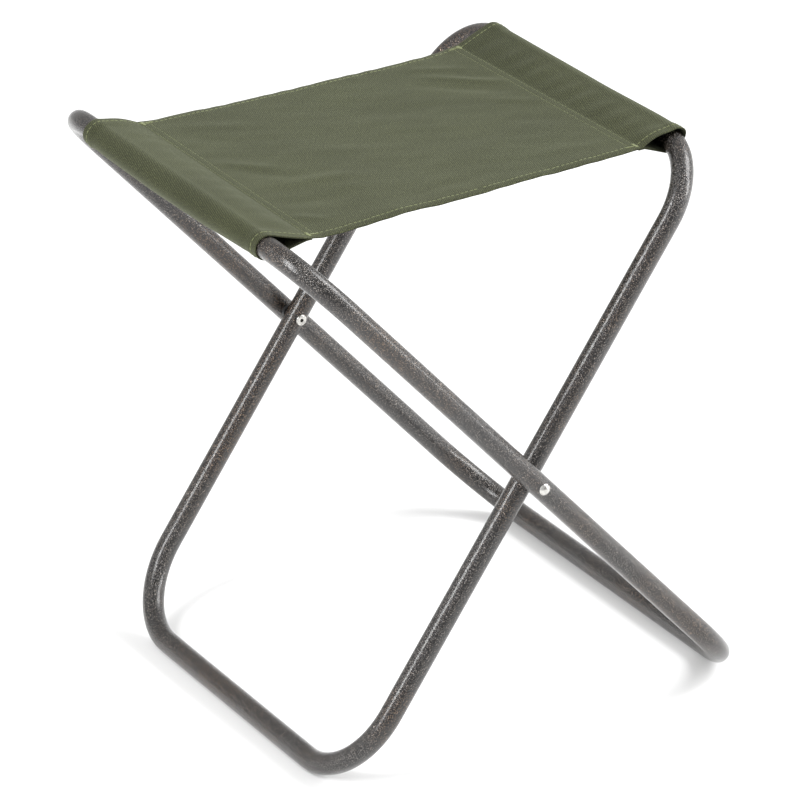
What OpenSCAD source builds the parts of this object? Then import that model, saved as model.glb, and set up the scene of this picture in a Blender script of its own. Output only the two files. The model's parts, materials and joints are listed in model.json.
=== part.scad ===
// Folding camp stool: two bent tube loops crossed on a pair of rivets, with a
// cloth seat whose two end sleeves run on the loops' top bars.
// +Z is up, the feet stand on z = 0 and the pivot axis runs along Y.

/* [Tube] */
// Outside diameter of the frame tube
tube_d = 16; // [12:0.5:22]
// Wall thickness of the frame tube
tube_wall = 1; // [0.8:0.1:2]
// Centreline radius of the lower bends
foot_bend_r = 60; // [30:1:80]
// Centreline radius of the upper bends
seat_bend_r = 50; // [30:1:70]
// Gap left between the tube's two ends, under the sleeve
butt_gap = 0.6; // [0.2:0.1:3]
// Length of the plug that joins the tube's two ends
spigot_l = 70; // [30:5:120]

/* [Frame] */
// Half width of the inner loop, leg centre to middle
inner_half_w = 167; // [120:1:260]
// Gap between the legs of the two loops, filled by the pivot spacer
leg_gap = 3; // [1:0.5:8]
// Angle of each leg from the vertical when open
leg_angle = 38.6; // [30:0.1:45]
// Pivot to the bottom bars, along the leg
pivot_down = 249; // [180:1:360]
// Pivot to the inner loop's top bar
inner_up = 250; // [180:1:360]
// Pivot to the outer loop's top bar
outer_up = 261; // [190:1:380]

/* [Rivet] */
// Shank diameter of the pivot rivets
rivet_d = 4.9; // [4:0.1:6]
// Radial play of the shank in the tube walls
rivet_play = 0.05; // [0.01:0.01:0.1]
// Diameter of the domed head
head_d = 8.4; // [7:0.1:12]
// Height of the domed head
head_h = 2.2; // [1:0.1:4]
// Diameter of the rolled end
roll_d = 8.2; // [6:0.1:11]
// Height of the rolled end
roll_h = 1.7; // [1:0.1:3]
// Diameter of the hole in the rolled end
roll_hole_d = 2.7; // [1.5:0.1:4]
// Outside diameter of the pivot spacer
spacer_d = 11; // [8:0.5:16]

/* [Seat] */
// Width of the seat cloth along the bars
seat_w = 256; // [180:1:330]
// How far the cloth has slid along its bars
seat_slide = -4; // [-20:1:20]
// Thickness of the cloth
cloth_t = 1.2; // [0.8:0.1:2]
// Seam of the outer loop's sleeve, from the bar's centre
outer_seam = 30; // [24:1:50]
// Seam of the inner loop's sleeve, from the bar's centre
inner_seam = 27; // [24:1:50]
// Gap between the two rows of thread in a sleeve seam
seam_rows = 5; // [3:0.5:12]
// Hem stitching, from the cloth's edge
hem_stitch_in = 6; // [2:0.1:8]
// Width of a row of thread
thread_w = 0.6; // [0.4:0.1:1]

/* [Hidden] */
$fn = 64;

eps = 0.01;
thread_play = 0.05;
drop_steps = 40;
run = 0.3;
tube_r = tube_d / 2;
bore_r = tube_r - tube_wall;
outer_half_w = inner_half_w + tube_d + leg_gap;
pivot_z = tube_r + pivot_down * cos(leg_angle);

// The two top bars, measured from the pivot axis, and the cloth's line between them
outer_bar = [-outer_up * sin(leg_angle), outer_up * cos(leg_angle)];
inner_bar = [inner_up * sin(leg_angle), inner_up * cos(leg_angle)];
seat_dip = atan2(outer_bar[1] - inner_bar[1], inner_bar[0] - outer_bar[0]);
seat_span = norm(inner_bar - outer_bar);

// The seat creases nearer the shorter loop's bar, so that it folds straight down between them
crease = (outer_up - inner_up) / 2;
sleeve_in_r = tube_r + run;
sleeve_r = sleeve_in_r + cloth_t;
outer_l = seat_span / 2 + crease - run / 2;
inner_l = seat_span / 2 - crease - run / 2;
y_near = seat_slide - seat_w / 2;

// Puts the middle of the open stool over the origin
pivot_x = -(outer_bar[0] + inner_bar[0]) / 2;

paint = [0.24, 0.21, 0.19];
plated = [0.78, 0.77, 0.74];
nylon = [0.1, 0.1, 0.1];
olive = [0.35, 0.38, 0.27];
thread_colour = [0.52, 0.54, 0.36];

// Stands a loop, drawn with upright legs and the pivot at the origin, on its feet
module lean(angle) {
    translate([pivot_x, 0, pivot_z]) rotate([0, angle, 0]) children();
}

// A quarter bend from the +Y to the +Z direction
module bend(bend_r, r) {
    rotate([90, 0, 90]) rotate_extrude(angle = 90) translate([bend_r, 0]) circle(r);
}

// Solid of radius r along the centreline of one side of a loop
module side_run(half_w, up, r) {
    top_z = up - seat_bend_r;
    foot_z = foot_bend_r - pivot_down;
    translate([0, half_w, foot_z]) cylinder(h = top_z - foot_z, r = r);
    translate([0, half_w - seat_bend_r, top_z]) bend(seat_bend_r, r);
    translate([0, half_w - foot_bend_r, foot_z]) mirror([0, 0, 1]) bend(foot_bend_r, r);
}

// Solid of radius r round the whole loop
module loop_run(half_w, up, r) {
    side_run(half_w, up, r);
    mirror([0, 1, 0]) side_run(half_w, up, r);
    bar_run(half_w - seat_bend_r, up, r);
    bar_run(half_w - foot_bend_r, -pivot_down, r);
}

// Solid of radius r along a loop's top or bottom bar
module bar_run(half, z, r) {
    translate([0, -half, z]) rotate([-90, 0, 0]) cylinder(h = 2 * half, r = r);
}

// Hollow loop with its rivet holes and the butt joint in the top bar
module loop_tube(half_w, up) {
    difference() {
        loop_run(half_w, up, tube_r);
        loop_run(half_w, up, bore_r);
        translate([0, -half_w - tube_d, 0]) rotate([-90, 0, 0])
            cylinder(h = 2 * (half_w + tube_d), d = rivet_d + 2 * rivet_play);
        translate([-tube_d, -butt_gap / 2, up - tube_d]) cube([2 * tube_d, butt_gap, 2 * tube_d]);
    }
}

module spigot(up) {
    difference() {
        bar_run(spigot_l / 2, up, bore_r - 0.05);
        bar_run(spigot_l, up, bore_r - 1.2);
    }
}

module outer_frame_tube() {
    color(paint) lean(-leg_angle) loop_tube(outer_half_w, outer_up);
}

module inner_frame_tube() {
    color(paint) lean(leg_angle) loop_tube(inner_half_w, inner_up);
}

module outer_joint_spigot() {
    color(plated) lean(-leg_angle) spigot(outer_up);
}

module inner_joint_spigot() {
    color(plated) lean(leg_angle) spigot(inner_up);
}

// Domed head outside, shank through both tubes, rolled hollow end inside; z = 0 is
// the outer face of the outer leg and the shank runs to +z
module rivet() {
    grip = 2 * tube_d + leg_gap + 0.1;
    dome_r = (head_d * head_d / 4 + head_h * head_h) / (2 * head_h);
    difference() {
        union() {
            difference() {
                translate([0, 0, dome_r - head_h]) sphere(dome_r);
                translate([-dome_r * 2, -dome_r * 2, 0]) cube([4 * dome_r, 4 * dome_r, 4 * dome_r]);
            }
            translate([0, 0, -eps]) cylinder(h = grip + roll_h, d = rivet_d);
            translate([0, 0, grip + roll_h / 2]) rotate_extrude()
                translate([roll_d / 2 - roll_h / 2, 0]) circle(d = roll_h);
            translate([0, 0, grip]) cylinder(h = roll_h, r = roll_d / 2 - roll_h / 2);
        }
        translate([0, 0, grip - 6]) cylinder(h = 20, d = roll_hole_d);
    }
}

// Ring that keeps the two legs apart
module spacer() {
    difference() {
        cylinder(h = leg_gap - 0.2, d = spacer_d);
        translate([0, 0, -1]) cylinder(h = leg_gap + 2, d = rivet_d + 2 * rivet_play);
    }
}

module at_near_pivot(depth) {
    translate([pivot_x, -outer_half_w - tube_r + depth, pivot_z]) rotate([-90, 0, 0]) children();
}

module near_pivot_rivet() {
    color(plated) at_near_pivot(-eps) rivet();
}

module far_pivot_rivet() {
    color(plated) mirror([0, 1, 0]) at_near_pivot(-eps) rivet();
}

module near_pivot_spacer() {
    color(nylon) at_near_pivot(tube_d + 0.1) spacer();
}

module far_pivot_spacer() {
    color(nylon) mirror([0, 1, 0]) at_near_pivot(tube_d + 0.1) spacer();
}

// Places a cloth part drawn from its bar's centre, with +X towards the other bar
module on_outer_bar() {
    translate([pivot_x + outer_bar[0], 0, pivot_z + outer_bar[1]]) rotate([0, seat_dip, 0]) children();
}

module on_inner_bar() {
    translate([pivot_x + inner_bar[0], 0, pivot_z + inner_bar[1]]) rotate([0, seat_dip, 0])
        mirror([1, 0, 0]) children();
}

// Extrudes an outline in the XZ plane along the bar
module along_bar(y, length) {
    translate([0, y + length, 0]) rotate([90, 0, 0]) linear_extrude(length) children();
}

// Drop shape: round over the bar, straight to a point at the seam
module drop(r, tip) {
    turn = acos(r / tip);
    sweep = 360 - 2 * turn;
    polygon([
        [tip, 0],
        for (i = [0 : drop_steps]) r * [cos(turn + sweep * i / drop_steps), sin(turn + sweep * i / drop_steps)]
    ]);
}

// Half of the seat: the sleeve round one bar and the panel as far as the crease. The
// thread lies in grooves, level with the cloth's top face.
module seat_half(seam, length) {
    difference() {
        along_bar(y_near, seat_w) {
            drop(sleeve_r, seam + cloth_t);
            translate([seam - 4, -cloth_t / 2]) square([length - seam + 4, cloth_t]);
        }
        along_bar(y_near - 1, seat_w + 2) drop(sleeve_in_r, seam - 4);
        sleeve_seam(seam, thread_play);
        hem_stitching(seam, length, thread_play);
        bar_tacks(seam, thread_play);
    }
}

module outer_seat_half() {
    color(olive) on_outer_bar() seat_half(outer_seam, outer_l);
}

// The inner loop's bends start inside this sleeve, so its ends are open below them
module inner_seat_half() {
    relief = sleeve_in_r + 0.3;
    color(olive) difference() {
        on_inner_bar() seat_half(inner_seam, inner_l);
        lean(leg_angle) for (side = [0, 1]) mirror([0, side, 0])
            translate([-relief, inner_half_w - seat_bend_r, inner_up - relief - 4])
                cube([2 * relief, seat_w, relief + 4]);
    }
}

// A block of thread let into the panel, centred on x and y, or with play its groove
module thread_block(x, y, size_x, size_y, play) {
    deep = thread_w / 2 + play;
    translate([x - size_x / 2 - play, y - size_y / 2 - play, cloth_t / 2 - deep])
        cube([size_x + 2 * play, size_y + 2 * play, play > 0 ? deep + 1 : deep - 0.02]);
}

module sleeve_seam(seam, play = 0) {
    for (row = [0, 1]) thread_block(seam + 3 + row * seam_rows, seat_slide, thread_w, seat_w - 2, play);
}

module hem_stitching(seam, length, play = 0) {
    first = seam + 3 + seam_rows + 2;
    for (side = [-1, 1])
        thread_block((first + length - 0.5) / 2, seat_slide + side * (seat_w / 2 - hem_stitch_in),
            length - 0.5 - first, thread_w, play);
}

// Dense little blocks of thread at the ends of a seam
module bar_tacks(seam, play = 0) {
    for (side = [-1, 1])
        thread_block(seam + 3 + seam_rows / 2, seat_slide + side * (seat_w / 2 - 7), 3, 2, play);
}

module outer_sleeve_seam() {
    color(thread_colour) on_outer_bar() sleeve_seam(outer_seam);
}

module inner_sleeve_seam() {
    color(thread_colour) on_inner_bar() sleeve_seam(inner_seam);
}

module outer_hem_stitching() {
    color(thread_colour) on_outer_bar() hem_stitching(outer_seam, outer_l);
}

module inner_hem_stitching() {
    color(thread_colour) on_inner_bar() hem_stitching(inner_seam, inner_l);
}

module outer_bar_tacks() {
    color(thread_colour) on_outer_bar() bar_tacks(outer_seam);
}

module inner_bar_tacks() {
    color(thread_colour) on_inner_bar() bar_tacks(inner_seam);
}

outer_frame_tube();
outer_joint_spigot();
inner_frame_tube();
inner_joint_spigot();
near_pivot_rivet();
far_pivot_rivet();
near_pivot_spacer();
far_pivot_spacer();
outer_seat_half();
inner_seat_half();
outer_sleeve_seam();
inner_sleeve_seam();
outer_hem_stitching();
inner_hem_stitching();
outer_bar_tacks();
inner_bar_tacks();
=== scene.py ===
"""Looks for the folding camp stool: tube loops in hammered paint, and a sewn cloth seat."""

import json
import math

import bpy
import numpy as np
from mathutils import Matrix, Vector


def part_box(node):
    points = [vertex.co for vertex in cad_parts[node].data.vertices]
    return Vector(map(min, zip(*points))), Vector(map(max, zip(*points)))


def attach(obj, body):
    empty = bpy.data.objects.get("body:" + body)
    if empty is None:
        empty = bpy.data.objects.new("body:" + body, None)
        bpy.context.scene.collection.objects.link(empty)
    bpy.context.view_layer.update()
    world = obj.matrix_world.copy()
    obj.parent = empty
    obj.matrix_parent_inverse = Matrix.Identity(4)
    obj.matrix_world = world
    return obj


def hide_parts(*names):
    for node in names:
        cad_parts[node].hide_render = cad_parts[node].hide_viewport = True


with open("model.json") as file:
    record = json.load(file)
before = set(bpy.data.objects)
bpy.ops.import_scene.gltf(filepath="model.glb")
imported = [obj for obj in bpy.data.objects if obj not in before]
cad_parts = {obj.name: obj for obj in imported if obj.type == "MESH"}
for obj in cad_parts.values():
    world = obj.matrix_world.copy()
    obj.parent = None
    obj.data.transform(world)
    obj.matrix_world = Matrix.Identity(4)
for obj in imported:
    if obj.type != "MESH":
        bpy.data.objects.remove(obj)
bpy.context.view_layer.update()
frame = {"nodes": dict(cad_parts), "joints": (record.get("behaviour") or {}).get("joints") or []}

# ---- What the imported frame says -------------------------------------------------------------

SIDES = ("outer", "inner")
IN_PLANE = [1, 0, 1]
ACROSS = np.array([0.0, 1.0, 0.0])
JOINTS = {joint["name"]: joint for joint in frame["joints"]}
PIVOT = np.array(JOINTS["fold"]["pos_m"]) * IN_PLANE
BARS = {side: np.array(JOINTS[side + "_sleeve_turn"]["pos_m"]) * IN_PLANE for side in SIDES}
TUBE_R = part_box("outer_frame_tube")[1].z - BARS["outer"][2]
HALF_W = {side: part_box(side + "_frame_tube")[1].y - TUBE_R for side in SIDES}
SEAT_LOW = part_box("outer_seat_half")[0].y
SEAT_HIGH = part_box("outer_seat_half")[1].y

# Seat coordinates: u from the outer bar to the inner one, w up from the line between them, and y
SPAN = float(np.linalg.norm(BARS["inner"] - BARS["outer"]))
# The seat creases nearer the shorter loop's bar, so that it folds straight down between them
CREASE_SHIFT = 0.0055
CREASE = SPAN / 2 + CREASE_SHIFT
ALONG = (BARS["inner"] - BARS["outer"]) / SPAN
UP = np.array([-ALONG[2], 0.0, ALONG[0]])

# ---- Curves and meshes ----------------------------------------------------------------------


def unit(v):
    return v / np.maximum(np.linalg.norm(v, axis=-1, keepdims=True), 1e-12)


def ease(t):
    t = np.clip(t, 0, 1)
    return t * t * (3 - 2 * t)


def smooth_line(knots, t):
    """Value at t on an eased line through (t, value) knots."""
    t = min(max(t, knots[0][0]), knots[-1][0])
    for (t0, v0), (t1, v1) in zip(knots, knots[1:]):
        if t <= t1:
            f = (t - t0) / (t1 - t0)
            return v0 + (v1 - v0) * (0.5 * f + 0.5 * float(ease(f)))
    return knots[-1][1]


def ripple(a, b, seed):
    """Smooth, fixed unevenness between -1 and 1."""
    rng = np.random.default_rng(seed)
    total = 0.0
    for k in range(5):
        fa, fb = rng.uniform(0.5, 1.6, 2) * (1 + 0.8 * k)
        pa, pb = rng.uniform(0, math.tau, 2)
        total += math.sin(fa * a + pa) * math.cos(fb * b + pb) / (1 + 0.7 * k)
    return total / 2.2


def lengths_along(points):
    """Distance walked at each of a line's points."""
    return np.concatenate([[0], np.cumsum(np.linalg.norm(np.diff(points, axis=0), axis=1))])


def new_object(name, verts, faces, normals=None, weave=None):
    mesh = bpy.data.meshes.new(name)
    mesh.from_pydata(np.asarray(verts).tolist(), [], faces)
    mesh.validate()
    mesh.polygons.foreach_set("use_smooth", [True] * len(mesh.polygons))
    if weave is not None:
        layer = mesh.attributes.new("weave", "FLOAT_VECTOR", "POINT")
        layer.data.foreach_set("vector", np.asarray(weave, np.float32).ravel())
    if normals is not None:
        mesh.normals_split_custom_set_from_vertices(np.asarray(normals).tolist())
    obj = bpy.data.objects.new(name, mesh)
    bpy.context.scene.collection.objects.link(obj)
    return obj


def grid_faces(rows, cols, start=0, flip=False, wrap=False):
    """Quads of a rows by cols grid of points, row by row from index start."""
    out = []
    for i in range(rows - 1):
        here = start + i * cols
        there = here + cols
        for j in range(cols if wrap else cols - 1):
            k = (j + 1) % cols
            quad = [here + j, here + k, there + k, there + j]
            out.append(quad[::-1] if flip else quad)
    return out


# ---- Node materials -------------------------------------------------------------------------


class Nodes:
    """Short way to write a material's node tree."""

    def __init__(self, name):
        self.material = bpy.data.materials.new(name)
        self.material.use_nodes = True
        self.tree = self.material.node_tree
        self.tree.nodes.clear()

    def feed(self, socket, value):
        """Link a socket, or set its value."""
        if isinstance(value, bpy.types.NodeSocket):
            self.tree.links.new(value, socket)
        else:
            socket.default_value = value

    def add(self, kind, inputs=None, **settings):
        node = self.tree.nodes.new(kind)
        for key, value in settings.items():
            setattr(node, key, value)
        for key, value in (inputs or {}).items():
            self.feed(node.inputs[key], value)
        return node

    def place(self):
        return self.add("ShaderNodeTexCoord").outputs["Object"]

    def mapping(self, vector, **inputs):
        return self.add("ShaderNodeMapping", {"Vector": vector, **inputs}).outputs[0]

    def math(self, operation, a, b=0.0, c=0.0):
        return self.add("ShaderNodeMath", {0: a, 1: b, 2: c}, operation=operation).outputs[0]

    def ramp(self, fac, stops):
        node = self.add("ShaderNodeValToRGB", {0: fac})
        while len(node.color_ramp.elements) < len(stops):
            node.color_ramp.elements.new(0.5)
        for element, (at, colour) in zip(node.color_ramp.elements, stops):
            element.position = at
            element.color = (*colour, 1)
        return node.outputs[0]

    def noise(self, vector, scale, detail=3.0, roughness=0.5):
        inputs = {"Vector": vector, "Scale": scale, "Detail": detail, "Roughness": roughness}
        return self.add("ShaderNodeTexNoise", inputs).outputs[0]

    def mix(self, fac, a, b, blend="MIX"):
        node = self.add("ShaderNodeMix", data_type="RGBA", blend_type=blend)
        for index, value in ((0, fac), (6, a), (7, b)):
            self.feed(node.inputs[index], (*value, 1) if isinstance(value, tuple) else value)
        return node.outputs[2]

    def bump(self, height, strength, distance, normal=None):
        inputs = {"Height": height, "Strength": strength, "Distance": distance}
        if normal is not None:
            inputs["Normal"] = normal
        return self.add("ShaderNodeBump", inputs).outputs[0]

    def finish(self, **inputs):
        """Principled shader with the given inputs: an underscore stands for a space in a name."""
        names = {key.replace("_", " "): value for key, value in inputs.items()}
        shader = self.add("ShaderNodeBsdfPrincipled", names)
        output = self.add("ShaderNodeOutputMaterial")
        self.tree.links.new(shader.outputs[0], output.inputs[0])
        return self.material


def hammered_paint():
    """Dark grey-brown hammer finish: cells about 1 mm across with light, glossy tops."""
    cells_per_m = 1080.0
    grains_per_m = 1550.0
    cell_depth = 0.0008
    n = Nodes("hammered_paint")
    place = n.place()
    warp = n.noise(place, 520.0, 2.0)
    bent = n.add("ShaderNodeMixRGB", {0: 0.0012, 1: place, 2: warp}, blend_type="ADD").outputs[0]
    cells = n.add(
        "ShaderNodeTexVoronoi",
        {"Vector": bent, "Scale": cells_per_m, "Smoothness": 0.30},
        feature="SMOOTH_F1",
    ).outputs["Distance"]
    fine = n.noise(place, grains_per_m, 2.0, 0.6)
    fleck = n.math("MULTIPLY_ADD", fine, 0.75, n.math("MULTIPLY", cells, 0.70))
    grey = n.ramp(
        fleck,
        [
            (0.42, (0.325, 0.288, 0.256)),
            (0.53, (0.083, 0.071, 0.061)),
            (0.64, (0.016, 0.013, 0.011)),
            (0.84, (0.004, 0.003, 0.003)),
        ],
    )
    brown = n.mix(1.0, grey, (1.12, 0.84, 0.60), "MULTIPLY")
    cloud = n.noise(n.mapping(place, Location=(0.3, 0.7, 0.1)), 11.0, 3.0, 0.6)
    patches = n.ramp(cloud, [(0.46, (0, 0, 0)), (0.66, (1, 1, 1))])
    height = n.math("ADD", n.math("MULTIPLY", cells, -1.0), n.math("MULTIPLY", fine, 0.35))
    return n.finish(
        Base_Color=n.mix(patches, grey, brown),
        Roughness=n.math("MULTIPLY_ADD", fine, 0.20, 0.14),
        Metallic=0.30,
        Specular_IOR_Level=0.60,
        Coat_Weight=0.65,
        Coat_Roughness=0.19,
        Coat_Normal=n.bump(height, 0.10, cell_depth),
        Normal=n.bump(height, 0.6, cell_depth),
    )


def plated_steel():
    """Bright zinc plate with fine scratches and a slightly cloudy surface."""
    n = Nodes("plated_steel")
    place = n.place()
    cloud = n.noise(place, 420.0, 4.0, 0.6)
    scratch = n.noise(n.mapping(place, Scale=(300.0, 300.0, 4200.0)), 1.0, 2.0)
    return n.finish(
        Base_Color=n.ramp(cloud, [(0.30, (0.34, 0.33, 0.31)), (0.62, (0.66, 0.65, 0.62))]),
        Metallic=0.92,
        Roughness=n.math("MULTIPLY_ADD", cloud, 0.25, 0.16),
        Normal=n.bump(scratch, 0.16, 0.00008),
    )


def black_nylon():
    """Moulded black plastic with a faint grain."""
    n = Nodes("black_nylon")
    grain = n.noise(n.place(), 2600.0, 2.0)
    return n.finish(
        Base_Color=n.ramp(grain, [(0.3, (0.010, 0.010, 0.011)), (0.7, (0.022, 0.022, 0.023))]),
        Roughness=n.math("MULTIPLY_ADD", grain, 0.2, 0.42),
        Normal=n.bump(grain, 0.2, 0.0001),
    )


def seat_cloth():
    """Olive polyester canvas: a fine diagonal rib over crossed yarns with painted shade in its
    grooves, a little faded in clouds.
    """
    rib_pitch = 0.00137
    rib_lean = -0.24
    weft_pitch = 0.00115
    n = Nodes("seat_cloth")
    place = n.add("ShaderNodeAttribute", attribute_name="weave").outputs["Vector"]
    split = n.add("ShaderNodeSeparateXYZ", {0: place})
    u, v = split.outputs[0], split.outputs[1]
    wobble = n.math("MULTIPLY", n.noise(place, 90.0, 2.0), 0.0008)
    lean = n.math("MULTIPLY_ADD", v, rib_lean, n.math("ADD", u, wobble))
    rib = n.math("SINE", n.math("MULTIPLY", lean, math.tau / rib_pitch))
    weft = n.math("SINE", n.math("MULTIPLY", n.math("ADD", v, wobble), math.tau / weft_pitch))
    slub = n.noise(n.mapping(place, Scale=(240.0, 1500.0, 1.0)), 1.0, 2.0)
    height = n.math("MULTIPLY_ADD", rib, 0.44, n.math("MULTIPLY", weft, 0.25))
    height = n.math("ADD", height, n.math("MULTIPLY", slub, 0.5))
    speck = n.noise(place, 1000.0, 2.0, 0.6)
    cloud = n.noise(place, 14.0, 4.0, 0.55)
    # Colour is lighter on the weave's raised ribs and yarns and darker in the dips between them,
    # which is painted shade in the grooves; the specks and clouds are the cloth's own uneven tone
    groove_shade_and_tone = n.math("MULTIPLY_ADD", height, 0.40, n.math("MULTIPLY_ADD", speck, 1.7, -0.53))
    groove_shade_and_tone = n.math("ADD", groove_shade_and_tone, n.math("MULTIPLY", n.math("SUBTRACT", cloud, 0.5), 0.25))
    olive = n.ramp(
        groove_shade_and_tone,
        [
            (0.15, (0.010, 0.011, 0.004)),
            (0.50, (0.0325, 0.0362, 0.0146)),
            (0.85, (0.089, 0.097, 0.043)),
        ],
    )
    creases = n.bump(n.noise(place, 60.0, 3.0, 0.55), 0.14, 0.0014)
    return n.finish(
        Base_Color=olive,
        Roughness=0.86,
        Specular_IOR_Level=0.28,
        Sheen_Weight=0.16,
        Sheen_Roughness=0.45,
        Sheen_Tint=(0.80, 0.86, 0.62, 1.0),
        Normal=n.bump(height, 0.5, 0.00025, creases),
    )


def sewing_thread():
    """Twisted pale green thread."""
    n = Nodes("sewing_thread")
    twist = n.noise(n.place(), 2400.0, 2.0)
    return n.finish(
        Base_Color=n.ramp(twist, [(0.30, (0.120, 0.135, 0.052)), (0.70, (0.200, 0.225, 0.090))]),
        Roughness=0.62,
        Sheen_Weight=0.2,
        Normal=n.bump(twist, 0.5, 0.0002),
    )


def studio_floor():
    """Matt white paper."""
    n = Nodes("studio_floor")
    blotch = n.noise(n.place(), 3.0, 3.0)
    return n.finish(
        Base_Color=n.ramp(blotch, [(0.3, (0.86, 0.86, 0.86)), (0.7, (0.88, 0.88, 0.88))]),
        Roughness=0.9,
        Specular_IOR_Level=0.1,
    )


PAINT = hammered_paint()
PLATED = plated_steel()
NYLON = black_nylon()
CLOTH = seat_cloth()
THREAD = sewing_thread()
FLOOR = studio_floor()

# ---- Tube loops -----------------------------------------------------------------------------

TUBE_WALL = 0.001
SEAT_BEND = 0.050
FOOT_BEND = 0.060
BUTT_GAP = 0.0006
TUBE_SIDES = 56
BAR_STEP = 0.012
LEG_STEP = 0.008
SEAT_BEND_POINTS = 22
FOOT_BEND_POINTS = 24


def loop_line(side):
    """One loop's centreline points and tangents, from the butt joint round and back to it.

    The third result is the direction square to the loop's plane.
    """
    bar = BARS[side]
    half = HALF_W[side]
    down = unit(PIVOT - bar)
    long = (TUBE_R - bar[2]) / down[2]
    points = []
    tangents = []

    def at(y, s):
        return bar + ACROSS * y + down * s

    def straight(a, b, step):
        count = max(2, int(np.linalg.norm(b - a) / step))
        for t in np.linspace(0, 1, count, endpoint=False):
            points.append(a + (b - a) * t)
            tangents.append(unit(b - a))

    def bend(centre, radius, start, toward, count):
        for t in np.linspace(0, math.pi / 2, count, endpoint=False):
            points.append(centre + radius * (math.cos(t) * start + math.sin(t) * toward))
            tangents.append(-math.sin(t) * start + math.cos(t) * toward)

    top_end = half - SEAT_BEND
    foot_end = half - FOOT_BEND
    foot_top = long - FOOT_BEND
    straight(at(BUTT_GAP / 2, 0), at(top_end, 0), BAR_STEP)
    bend(at(top_end, SEAT_BEND), SEAT_BEND, -down, ACROSS, SEAT_BEND_POINTS)
    straight(at(half, SEAT_BEND), at(half, foot_top), LEG_STEP)
    bend(at(foot_end, foot_top), FOOT_BEND, ACROSS, down, FOOT_BEND_POINTS)
    straight(at(foot_end, long), at(-foot_end, long), BAR_STEP)
    bend(at(-foot_end, foot_top), FOOT_BEND, down, -ACROSS, FOOT_BEND_POINTS)
    straight(at(-half, foot_top), at(-half, SEAT_BEND), LEG_STEP)
    bend(at(-top_end, SEAT_BEND), SEAT_BEND, -ACROSS, -down, SEAT_BEND_POINTS)
    straight(at(-top_end, 0), at(-BUTT_GAP / 2, 0), BAR_STEP)
    points.append(at(-BUTT_GAP / 2, 0))
    tangents.append(ACROSS)
    return np.array(points), np.array(tangents), np.cross(down, ACROSS)


def loop_tube(side):
    """The bent tube with its wall, open at the butt joint."""
    points, tangents, square = loop_line(side)
    rows = len(points)
    square = np.broadcast_to(unit(square), points.shape)
    out = unit(np.cross(tangents, square))
    turn = np.linspace(0, math.tau, TUBE_SIDES, endpoint=False)[None, :, None]
    ring = square[:, None] * np.cos(turn) + out[:, None] * np.sin(turn)
    verts = [(points[:, None] + r * ring).reshape(-1, 3) for r in (TUBE_R, TUBE_R - TUBE_WALL)]
    inside = rows * TUBE_SIDES
    faces = grid_faces(rows, TUBE_SIDES, wrap=True)
    faces += grid_faces(rows, TUBE_SIDES, inside, flip=True, wrap=True)
    for row, flip in ((0, False), (rows - 1, True)):
        for j in range(TUBE_SIDES):
            a = row * TUBE_SIDES + j
            b = row * TUBE_SIDES + (j + 1) % TUBE_SIDES
            quad = [a, a + inside, b + inside, b]
            faces.append(quad[::-1] if flip else quad)
    tube = new_object(side + "_tube", np.concatenate(verts), faces)
    tube.data.materials.append(PAINT)
    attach(tube, side + "_frame")
    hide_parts(side + "_frame_tube")
    return tube


TUBES = {side: loop_tube(side) for side in SIDES}

# ---- Seat cloth: sizes and shapes ------------------------------------------------------------

CLOTH_T = 0.0006
# Distance between two layers of cloth that lie on each other
LAYER = 0.00068
# Layers' worth of room that the doubled hems need between the panel and the allowance
HEM_LAYERS = 1.2
HEM = 0.011
# Distance from each bar's axis to the seam that closes its sleeve
SEAM = {"outer": 0.0318, "inner": 0.0285}
ALLOWANCE = 0.013
# The sleeve's lower end meets the panel this far inside the seam
SEAM_TUCK = 0.002
# How much shorter the allowance is under the hems
HEM_CUT = 0.0112
# Gap between the bar and the cloth, on top and below
SNUG_GAP = 0.0005
LOOSE_GAP = 0.00035
# Angle round the bar at which the cloth starts to hang loose, and the angle that takes
LOOSE_FROM = math.radians(120)
LOOSE_OVER = math.radians(75)
# Rows of thread: the seam's first row, the gap to its second, and the hem's row from the edge
SEAM_ROW = 0.0015
ROW_GAP = 0.005
ROW_IN = 0.0060
# Folds and sag fade out over this distance from a seam
SEAM_FADE = 0.012
SAG = 0.0010

# (share of the way from the outer seam to the inner one, height of the panel's edge over the
# line between the bars)
NEAR_HEM = [
    (0.00, -0.0006), (0.04, -0.0012), (0.15, -0.0010), (0.28, 0.0006),
    (0.50, 0.0006), (0.75, 0.0019), (1.00, 0.0024),
]
FAR_HEM = [
    (0.00, -0.0006), (0.10, -0.0018), (0.25, -0.0027), (0.50, -0.0037),
    (0.75, -0.0042), (0.90, -0.0038), (1.00, -0.0022),
]

# (share of the way from the near mouth to the far one, rise of the sleeve's top over a straight line)
BELLY = {
    "outer": [
        (0.00, -0.0003), (0.04, 0.0004), (0.10, 0.0024), (0.25, 0.0028),
        (0.50, 0.0020), (0.80, 0.0015), (1.00, 0.0015),
    ],
    "inner": [(0.00, 0.0020), (0.12, 0.0012), (0.40, 0.0007), (0.80, 0.0009), (1.00, 0.0002)],
}
# The same, for how far the sleeve's underside hangs below a tight wrap
HANG = {
    "outer": [
        (0.00, 0.0000), (0.10, 0.0012), (0.35, 0.0028),
        (0.60, 0.0034), (0.85, 0.0030), (1.00, 0.0016),
    ],
    "inner": [(0.00, 0.0000), (0.10, 0.0004), (0.50, 0.0024), (0.90, 0.0012), (1.00, 0.0006)],
}
# The same, for how far the sleeve's top stands off the bar
EXTRA = {
    "outer": [(0.00, 0.0000), (0.20, 0.0003), (1.00, 0.0000)],
    "inner": [(0.00, 0.0012), (0.12, 0.0014), (0.45, 0.0000), (1.00, -0.0002)],
}
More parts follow.
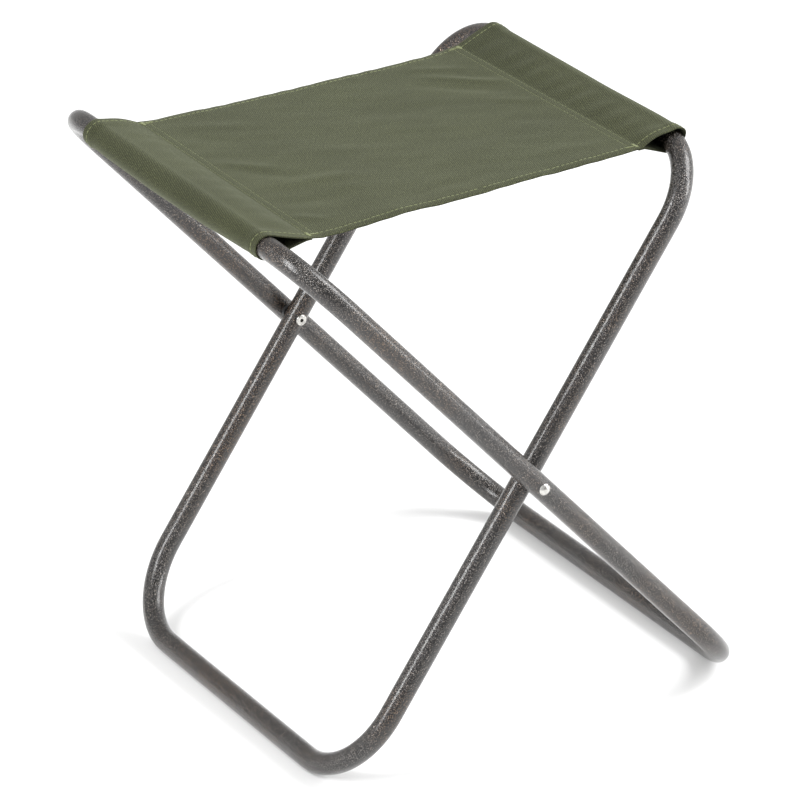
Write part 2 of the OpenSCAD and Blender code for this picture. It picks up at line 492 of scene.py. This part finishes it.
# Puckers beside the seams: pitch, and for each side their depth and the seed of their unevenness
PUCKER_PITCH = 0.021
PUCKERS = {"outer": (0.00020, 3), "inner": (0.00055, 4)}
# How far the underside is drawn in at the near mouth, and how quickly that fades
DRAWN_IN = {"outer": 0.001, "inner": 0.0045}
DRAWN_FADE = 0.013
# Direction in (u, w) in which the bar bends away inside its sleeve
LEG_LEAN = np.array([0.62, -0.78])

# Share of the heights below that is used
FOLD_SHARE = 0.75
FOLDS = [
    # start (u, y), end (u, y), half width, height
    ((0.040, 0.026), (0.078, -0.012), 0.0055, 0.0012),
    ((0.042, 0.008), (0.085, -0.036), 0.0070, -0.0009),
    ((0.050, -0.034), (0.125, -0.050), 0.0075, 0.0010),
    ((0.040, -0.070), (0.100, -0.078), 0.0080, -0.0007),
    ((0.036, -0.088), (0.060, -0.112), 0.0050, 0.0010),
    ((0.040, 0.112), (0.105, 0.066), 0.0075, 0.0008),
    ((0.038, 0.092), (0.080, 0.040), 0.0080, -0.0006),
    ((0.235, 0.092), (0.288, 0.030), 0.0048, 0.0015),
    ((0.225, 0.078), (0.284, 0.012), 0.0060, -0.0010),
    ((0.235, 0.108), (0.280, 0.074), 0.0050, 0.0010),
    ((0.250, 0.022), (0.286, -0.014), 0.0050, 0.0008),
    ((0.240, -0.020), (0.286, -0.060), 0.0070, -0.0006),
    ((0.284, -0.112), (0.215, -0.092), 0.0070, 0.0008),
    ((0.095, 0.020), (0.150, -0.020), 0.0090, 0.0006),
    ((0.130, -0.075), (0.235, -0.050), 0.0130, 0.0005),
    ((0.150, 0.060), (0.230, 0.020), 0.0120, -0.0006),
    ((0.100, -0.110), (0.200, -0.104), 0.0060, -0.0006),
]

# Points along the cloth in each part of a sleeve's cross-section
RISE_POINTS = 28
WRAP_POINTS = 46
UNDER_POINTS = 26
FLAP_POINTS = 10
# Columns of points over a hem, from the cloth's edge, closer together beside its thread
HEM_COLUMNS = (
    0.0012, 0.0022, 0.0032, 0.0042, 0.0050, 0.0056, 0.0060,
    0.0064, 0.0070, 0.0078, 0.0088, 0.0100, 0.0114, 0.0132,
)
MIDDLE_COLUMNS = 92


def edge_distance(y):
    """Distance from y to the nearer edge of the cloth."""
    return min(y - SEAT_LOW, SEAT_HIGH - y)


def seat_share(y):
    """How far y is from the near edge to the far one."""
    return (y - SEAT_LOW) / (SEAT_HIGH - SEAT_LOW)


def in_hem(y):
    """1 over the folded hems and 0 on the single cloth between them."""
    return float(1 - ease((edge_distance(y) - HEM * 0.8) / (HEM * 0.7)))


def panel_lift(u, y):
    """Height of the smooth panel over the line between the two bars."""
    t = (u - SEAM["outer"]) / (SPAN - SEAM["outer"] - SEAM["inner"])
    share = seat_share(y)
    near = smooth_line(NEAR_HEM, t)
    far = smooth_line(FAR_HEM, t)
    sag = SAG * 4 * max(0.0, t * (1 - t)) * 4 * share * (1 - share)
    return near + (far - near) * share - sag


def folds(u, y):
    """Shallow folds pulled into the panel from its corners."""
    total = 0.0
    for a, b, width, height in FOLDS:
        dx = b[0] - a[0]
        dy = b[1] - a[1]
        size = math.hypot(dx, dy)
        t = ((u - a[0]) * dx + (y - a[1]) * dy) / size**2
        off = ((u - a[0]) * dy - (y - a[1]) * dx) / size
        ends = math.sin(math.pi * min(max(t, 0), 1)) ** 1.2
        total += FOLD_SHARE * height * ends * math.exp(-((off / width) ** 2))
    return total


def thread_dip(distance, width):
    """1 at a row of thread and 0 away from it."""
    return math.exp(-((distance / width) ** 2))


def panel_height(side, u, y):
    """Height of the panel at u from that side's bar, with its folds, dips and hems."""
    if side == "inner":
        u = SPAN - u
    from_seam = min(u - SEAM["outer"], SPAN - SEAM["inner"] - u)
    from_edge = edge_distance(y)
    fade = float(ease(from_seam / SEAM_FADE))
    uneven = 0.00035 * ripple(u * 55, y * 60, 5)
    dip = sum(thread_dip(from_seam - row, 0.0011) for row in (SEAM_ROW, SEAM_ROW + ROW_GAP))
    pucker = 0.00007 * math.sin(y * 1900) + 0.00006 * math.sin(y * 1130 + 1)
    hem_dip = 0.00020 * thread_dip(from_edge - ROW_IN, 0.0010)
    droop = 0.0008 * (1 - from_edge / ROW_IN) ** 1.5 if from_edge < ROW_IN else 0.0
    scallop = 0.0006 * float(1 - ease(from_edge / 0.02)) * ripple(u * 90, 0, 11 if y > 0 else 12)
    relief = fade * (folds(u, y) + uneven + scallop - droop)
    return panel_lift(u, y) + relief + dip * (pucker - 0.00010) - hem_dip


def bent_away(side, y):
    """How far the bar has bent down inside its sleeve, at y."""
    past = max(0.0, abs(y) - (HALF_W[side] - SEAT_BEND))
    return SEAT_BEND - math.sqrt(SEAT_BEND**2 - past**2)


def sleeve(side, y):
    """Points from the panel's seam over the bar, round it and back below to the seam.

    Each point is (u from that side's bar, w, shift in y).
    """
    seam = SEAM[side]
    depth, seed = PUCKERS[side]
    share = seat_share(y)
    layers = in_hem(y)
    lift = panel_lift(seam if side == "outer" else SPAN - seam, y)
    below = LAYER * (1 + HEM_LAYERS * layers)
    drawn = DRAWN_IN[side] * math.exp(-(y - SEAT_LOW) / DRAWN_FADE)

    # From the seam up to where the cloth touches the bar
    snug = TUBE_R + SNUG_GAP + LAYER * layers + smooth_line(EXTRA[side], share)
    start = np.array([seam, lift])
    turn = math.atan2(lift, seam) + math.acos(snug / np.linalg.norm(start))
    touch = snug * np.array([math.cos(turn), math.sin(turn)])
    t = np.linspace(0, 1, RISE_POINTS)[:, None]
    rise = start + (touch - start) * t
    wave = math.sin(y * math.tau / PUCKER_PITCH + 1.4 * ripple(0, y * 30, seed))
    pucker = depth * wave * (0.6 + 0.4 * ripple(1, y * 25, seed + 9))
    belly = smooth_line(BELLY[side], share) + pucker * (1 - layers)
    rise[:, 1] += np.sin(math.pi * t[:, 0] ** 0.9) ** 1.3 * belly

    # Round the bar, snug on top and loose below
    shift = bent_away(side, y + drawn) * LEG_LEAN
    hang = smooth_line(HANG[side], share) + 0.0003 * ripple(0, y * 40, seed)
    loose = TUBE_R + LOOSE_GAP + LAYER * layers + hang
    base = np.array([seam - SEAM_TUCK, lift - below])
    aim = base - shift
    last = math.tau + math.atan2(aim[1], aim[0]) - math.acos(loose / np.linalg.norm(aim))
    angles = np.linspace(turn, last, WRAP_POINTS)
    slack = ease((angles - LOOSE_FROM) / LOOSE_OVER)
    reach = snug + (loose - snug) * slack
    wrap = reach[:, None] * np.stack([np.cos(angles), np.sin(angles)], 1) + slack[:, None] * shift

    # Below, back to the seam, and the allowance under the panel
    t = np.linspace(0, 1, UNDER_POINTS)[:, None]
    under = wrap[-1] + (base - wrap[-1]) * t
    under[:, 1] -= np.sin(math.pi * t[:, 0]) * 0.35 * hang
    flap_u = np.linspace(seam - SEAM_TUCK, seam + ALLOWANCE - HEM_CUT * layers, FLAP_POINTS)
    flap = np.array([[u, panel_height(side, u, y) - below] for u in flap_u])

    path = np.concatenate([rise[:-1], wrap[:-1], under[:-1], flap])
    pull = [
        np.zeros(RISE_POINTS - 1),
        slack[:-1],
        np.linspace(1, 0, UNDER_POINTS)[:-1] ** 0.5,
        np.zeros(FLAP_POINTS),
    ]
    return np.column_stack([path, np.concatenate(pull) * drawn])


# ---- Seat cloth: the grid of points -----------------------------------------------------------

PANEL_END = SPAN - SEAM["inner"]
# Places of the panel's rows of points, closer together beside the seams
PANEL_U = np.concatenate(
    [
        np.linspace(SEAM["outer"], SEAM["outer"] + SEAM_FADE, 12, endpoint=False),
        np.linspace(SEAM["outer"] + SEAM_FADE, CREASE, 54, endpoint=False),
        np.linspace(CREASE, PANEL_END - SEAM_FADE, 50, endpoint=False),
        np.linspace(PANEL_END - SEAM_FADE, PANEL_END, 13),
    ]
)


def cross_section(y):
    """One (u, w, shift in y) path through the whole seat."""
    outer = sleeve("outer", y)[::-1]
    inner = sleeve("inner", y)
    inner[:, 0] = SPAN - inner[:, 0]
    middle = np.array([[u, panel_height("outer", u, y), 0.0] for u in PANEL_U])
    return np.concatenate([outer[:-1], middle[:-1], inner])


def column_list():
    """(y, offset) of each column across the cloth, folded hems included."""
    r = LAYER / 2
    turned = [(d, -LAYER) for d in np.linspace(HEM, r + 0.0008, 8)]
    bend = [(r - r * math.sin(a), -r + r * math.cos(a)) for a in np.linspace(math.pi, 0, 7)]
    hem = turned + bend + [(d, 0.0) for d in HEM_COLUMNS]
    past_hem = 0.0155
    middle = np.linspace(SEAT_LOW + past_hem, SEAT_HIGH - past_hem, MIDDLE_COLUMNS)
    near = [(SEAT_LOW + d, offset) for d, offset in hem]
    far = [(SEAT_HIGH - d, offset) for d, offset in hem][::-1]
    return near + [(y, 0.0) for y in middle] + far


def to_frame(points, y):
    """Seat coordinates (u, w) and y to the part's frame."""
    in_plane = BARS["outer"] + points[..., :1] * ALONG + points[..., 1:2] * UP
    return in_plane + ACROSS * y[..., None]


def top_normals(points):
    """Normals of a grid of points, on the side that faces up in the middle of the crease."""
    normals = unit(np.cross(np.gradient(points, axis=0), np.gradient(points, axis=1)))
    return normals if normals[SPLIT, points.shape[1] // 2, 2] > 0 else -normals


COLUMNS = column_list()
BASE_Y = sorted({round(y, 7) for y, _ in COLUMNS})
FLAT = np.stack([cross_section(y) for y in BASE_Y], 1)
PANEL_FROM = len(sleeve("outer", 0.0)) - 1
SPLIT = PANEL_FROM + int(np.argmin(np.abs(PANEL_U - CREASE)))
SHEET = to_frame(FLAT, np.array(BASE_Y) + FLAT[..., 2])
SHEET_N = top_normals(SHEET)

# The whole cloth, with its hems folded under
PICK = [BASE_Y.index(round(y, 7)) for y, _ in COLUMNS]
OFFSET = np.array([offset for _, offset in COLUMNS])
BODY = SHEET[:, PICK] + SHEET_N[:, PICK] * OFFSET[None, :, None]
BODY_N = top_normals(BODY)
# Distances along the cloth and across it, laid flat
S_AT = lengths_along(BODY[:, len(COLUMNS) // 2])
V_AT = lengths_along(BODY[SPLIT])


def border(rows, cols):
    """Indices round the edge of a grid of points."""
    first = list(range(cols))
    right = [i * cols + cols - 1 for i in range(1, rows)]
    last = [(rows - 1) * cols + j for j in range(cols - 2, -1, -1)]
    left = [i * cols for i in range(rows - 2, 0, -1)]
    return first + right + last + left


def cloth_half(name, first, last):
    """A closed sheet from the rows first to last of the cloth."""
    points = BODY[first:last + 1]
    normals = BODY_N[first:last + 1]
    rows, cols = points.shape[:2]
    count = rows * cols
    upper = (points + normals * CLOTH_T / 2).reshape(-1, 3)
    lower = (points - normals * CLOTH_T / 2).reshape(-1, 3)
    flat_place = np.zeros((rows, cols, 3))
    flat_place[..., 0] = S_AT[first:last + 1][:, None]
    flat_place[..., 1] = V_AT[None, :]
    flat_place = flat_place.reshape(-1, 3)
    faces = grid_faces(rows, cols) + grid_faces(rows, cols, count, flip=True)
    edge = border(rows, cols)
    for a, b in zip(edge, edge[1:] + edge[:1]):
        faces.append([b, a, a + count, b + count])
    corner = upper[faces[0]]
    if np.dot(np.cross(corner[1] - corner[0], corner[2] - corner[1]), normals[0, 0]) < 0:
        faces = [face[::-1] for face in faces]
    verts = np.concatenate([upper, lower])
    all_normals = np.concatenate([normals.reshape(-1, 3), -normals.reshape(-1, 3)])
    piece = new_object(name, verts, faces, all_normals, np.concatenate([flat_place, flat_place]))
    piece.data.materials.append(CLOTH)
    return piece


OUTER_CLOTH = cloth_half("outer_seat_cloth", 0, SPLIT)
INNER_CLOTH = cloth_half("inner_seat_cloth", SPLIT, len(BODY) - 1)

# ---- Thread ---------------------------------------------------------------------------------

STITCH_RINGS = (-0.5, -0.44, -0.25, 0.0, 0.25, 0.44, 0.5)
STITCH_SIDES = 6
PITCH = 0.0036
LENGTH = 0.0027
HEM_WIDTH = 0.00060
SEAM_WIDTH = 0.00032


def on_cloth(row, y):
    """Point and normal on the cloth's top face at a grid row, which may be a fraction, and y."""
    i = int(min(max(math.floor(row), 0), len(SHEET) - 2))
    k = int(np.clip(np.searchsorted(BASE_Y, y) - 1, 0, len(BASE_Y) - 2))
    f = row - i
    g = (y - BASE_Y[k]) / (BASE_Y[k + 1] - BASE_Y[k])

    def between(grid):
        here = (1 - g) * grid[i, k] + g * grid[i, k + 1]
        there = (1 - g) * grid[i + 1, k] + g * grid[i + 1, k + 1]
        return (1 - f) * here + f * there

    normal = unit(between(SHEET_N))
    return between(SHEET) + normal * CLOTH_T / 2, normal


def row_of(u):
    """Grid row at a place u on the panel."""
    return float(PANEL_FROM + np.interp(u, PANEL_U, np.arange(len(PANEL_U))))


def stitch_shape():
    """A short, rounded length of thread, 1 long and 1 across before scaling."""
    verts = []
    for t in STITCH_RINGS:
        size = 0.5 * max(0.12, (1 - (2 * t) ** 2) ** 0.3)
        for a in np.linspace(0, math.tau, STITCH_SIDES, endpoint=False):
            verts.append((t, size * math.cos(a), size * math.sin(a)))
    faces = grid_faces(len(STITCH_RINGS), STITCH_SIDES, wrap=True)
    end = len(verts) - STITCH_SIDES
    faces += [list(range(STITCH_SIDES))[::-1], list(range(end, len(verts)))]
    return np.array(verts), faces


STITCH_V, STITCH_F = stitch_shape()


def thread_piece(name, stitches, body, node):
    """One mesh of stitches: each is (point, normal, direction, length, width)."""
    verts = []
    faces = []
    for point, normal, direction, length, width in stitches:
        along = unit(direction - normal * np.dot(direction, normal))
        axes = np.stack([along, np.cross(normal, along), normal])
        base = len(verts) * len(STITCH_V)
        shape = STITCH_V * [length, width, width * 0.85]
        verts.append(point + normal * width * 0.12 + shape @ axes)
        faces += [[base + k for k in face] for face in STITCH_F]
    piece = new_object(name, np.concatenate(verts), faces)
    piece.data.materials.append(THREAD)
    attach(piece, body)
    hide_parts(node)
    return piece


def row_run(path, width, seed):
    """Stitches along a path of (row, y) points, on the cloth's top face."""
    rng = np.random.default_rng(seed)
    points = np.array([on_cloth(row, y)[0] for row, y in path])
    reach = lengths_along(points)
    out = []
    for s in np.arange(PITCH / 2, reach[-1] - PITCH / 2, PITCH):
        at = np.interp(s + rng.uniform(-0.12, 0.12) * PITCH, reach, np.arange(len(path)))
        k = int(min(at, len(path) - 2))
        f = at - k
        row = path[k][0] * (1 - f) + path[k + 1][0] * f
        y = path[k][1] * (1 - f) + path[k + 1][1] * f
        point, normal = on_cloth(row, y)
        direction = unit(points[k + 1] - points[k]) + rng.normal(0, 0.04, 3)
        out.append((point, normal, direction, LENGTH * rng.uniform(0.92, 1.06), width))
    return out


def seam_stitches(side, panel_place):
    """The double row that closes a sleeve."""
    seed = 20 if side == "outer" else 25
    end_in = 0.0045
    out = []
    for k in range(2):
        row = row_of(panel_place(SEAM_ROW + k * ROW_GAP))
        path = [(row, y) for y in np.linspace(SEAT_LOW + end_in, SEAT_HIGH - end_in, 90)]
        out += row_run(path, SEAM_WIDTH, seed + k)
    return out


def hem_stitches(side):
    """The rows along the two long edges, from the allowance round the bar to the crease."""
    seed = 40 if side == "outer" else 45
    last = FLAP_POINTS - 1 if side == "outer" else len(FLAT) - FLAP_POINTS
    out = []
    for k, y in enumerate((SEAT_LOW + ROW_IN, SEAT_HIGH - ROW_IN)):
        path = [(row, y) for row in np.linspace(last, SPLIT, 160)]
        out += row_run(path, HEM_WIDTH, seed + k)
    return out


def tack_stitches(side, panel_place):
    """The bar tacks at the seam's ends: a bar along the hem and one along the seam."""
    tack_in = 0.0050
    hem_bar = 0.0085
    hem_bar_stitches = 15
    seam_bar_step = 0.0005
    seam_bar_stitches = 13
    rng = np.random.default_rng(60 if side == "outer" else 61)
    out = []
    for y in (SEAT_LOW + tack_in, SEAT_HIGH - tack_in):
        for k in range(hem_bar_stitches):
            u = panel_place(0.0005 + hem_bar * k / (hem_bar_stitches - 1))
            point, normal = on_cloth(row_of(u), y + rng.uniform(-0.0002, 0.0002))
            direction = ACROSS + ALONG * (0.30 if k % 2 else -0.30)
            length = 0.0026 * rng.uniform(0.9, 1.1)
            out.append((point + normal * 0.0001, normal, direction, length, 0.00052))
        inward = 1 if y < 0 else -1
        row = row_of(panel_place(0.0018))
        for k in range(seam_bar_stitches):
            point, normal = on_cloth(row, y + inward * (seam_bar_step * k - 0.0024))
            direction = ALONG + ACROSS * (0.25 if k % 2 else -0.25)
            length = 0.0025 * rng.uniform(0.9, 1.1)
            out.append((point + normal * 0.00018, normal, direction, length, 0.00055))
    return out


def side_threads(side):
    """The rows of thread and the tacks on one half of the seat."""

    def panel_place(distance):
        """Place u on the panel at a distance from this side's seam."""
        return SEAM["outer"] + distance if side == "outer" else PANEL_END - distance

    body = side + "_seat"
    seam = seam_stitches(side, panel_place)
    hem = hem_stitches(side)
    tacks = tack_stitches(side, panel_place)
    return [
        thread_piece(side + "_seam_thread", seam, body, side + "_sleeve_seam"),
        thread_piece(side + "_hem_thread", hem, body, side + "_hem_stitching"),
        thread_piece(side + "_tack_thread", tacks, body, side + "_bar_tacks"),
    ]


for side, piece in (("outer", OUTER_CLOTH), ("inner", INNER_CLOTH)):
    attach(piece, side + "_seat")
    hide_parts(side + "_seat_half")
    threads = side_threads(side)

# ---- Carried-over CAD nodes -----------------------------------------------------------------

for node, material in (
    ("outer_joint_spigot", PLATED),
    ("inner_joint_spigot", PLATED),
    ("near_pivot_rivet", PLATED),
    ("far_pivot_rivet", PLATED),
    ("near_pivot_spacer", NYLON),
    ("far_pivot_spacer", NYLON),
):
    kept = frame["nodes"][node]
    kept.data.materials.clear()
    kept.data.materials.append(material)

# ---- Floor, light and camera ----------------------------------------------------------------

FLOOR_HALF = 6
FLOOR_Z = -0.0002
WORLD_STRENGTH = 0.60
VERTICAL = np.array([0.0, 0.0, 1.0])

corners = ((-1, -1), (1, -1), (1, 1), (-1, 1))
floor_points = [(FLOOR_HALF * x, FLOOR_HALF * y, FLOOR_Z) for x, y in corners]
floor = new_object("studio_floor", floor_points, [(0, 1, 2, 3)])
floor.data.materials.append(FLOOR)

world = bpy.data.worlds.new("studio")
bpy.context.scene.world = world
world.use_nodes = True
background = world.node_tree.nodes["Background"]
background.inputs["Color"].default_value = (1.0, 1.0, 1.0, 1.0)
background.inputs["Strength"].default_value = WORLD_STRENGTH


def set_axes(obj, right, up, back, place):
    """Put an object at a place with its own axes along three directions."""
    turn = Matrix(np.stack([right, up, back], 1).tolist())
    obj.matrix_world = Matrix.Translation(tuple(place)) @ turn.to_4x4()
    bpy.context.scene.collection.objects.link(obj)


def softbox(name, place, target, size, power):
    """A rectangular light that faces its target."""
    light = bpy.data.lights.new(name, "AREA")
    light.shape = "RECTANGLE"
    light.size, light.size_y = size
    light.energy = power
    back = unit(np.array(place) - np.array(target))
    right = unit(np.cross(VERTICAL, back))
    set_axes(bpy.data.objects.new(name, light), right, np.cross(back, right), back, place)


softbox("key_softbox", (3.5, -1.0, 3.5), (0.0, 0.0, 0.2), (2.6, 2.6), 230.0)
softbox("left_strip", (-1.55, -0.25, 1.44), (0.0, 0.0, 0.2), (0.42, 1.3), 38.0)
softbox("right_strip", (1.62, -1.05, 0.75), (0.0, 0.0, 0.3), (0.36, 0.9), 19.0)

# The camera, fitted to the outlines of both loops
CAMERA_PLACE = (-1.73047, -3.37089, 1.97305)
AZIMUTH = math.radians(-27.144)
ELEVATION = math.radians(25.093)
ROLL = math.radians(4.611)
lens = bpy.data.cameras.new("camera")
lens.sensor_width = 36.0
lens.lens = 265.8
lens.clip_end = 60.0
level = np.array([math.sin(AZIMUTH), -math.cos(AZIMUTH), 0.0])
back = level * math.cos(ELEVATION) + VERTICAL * math.sin(ELEVATION)
right = unit(np.cross(-back, VERTICAL))
down = np.cross(-back, right)
camera_x = math.cos(ROLL) * right + math.sin(ROLL) * down
camera_y = math.sin(ROLL) * right - math.cos(ROLL) * down
camera = bpy.data.objects.new("camera", lens)
set_axes(camera, camera_x, camera_y, back, CAMERA_PLACE)
bpy.context.scene.camera = camera
bpy.context.scene.view_settings.view_transform = "Standard"
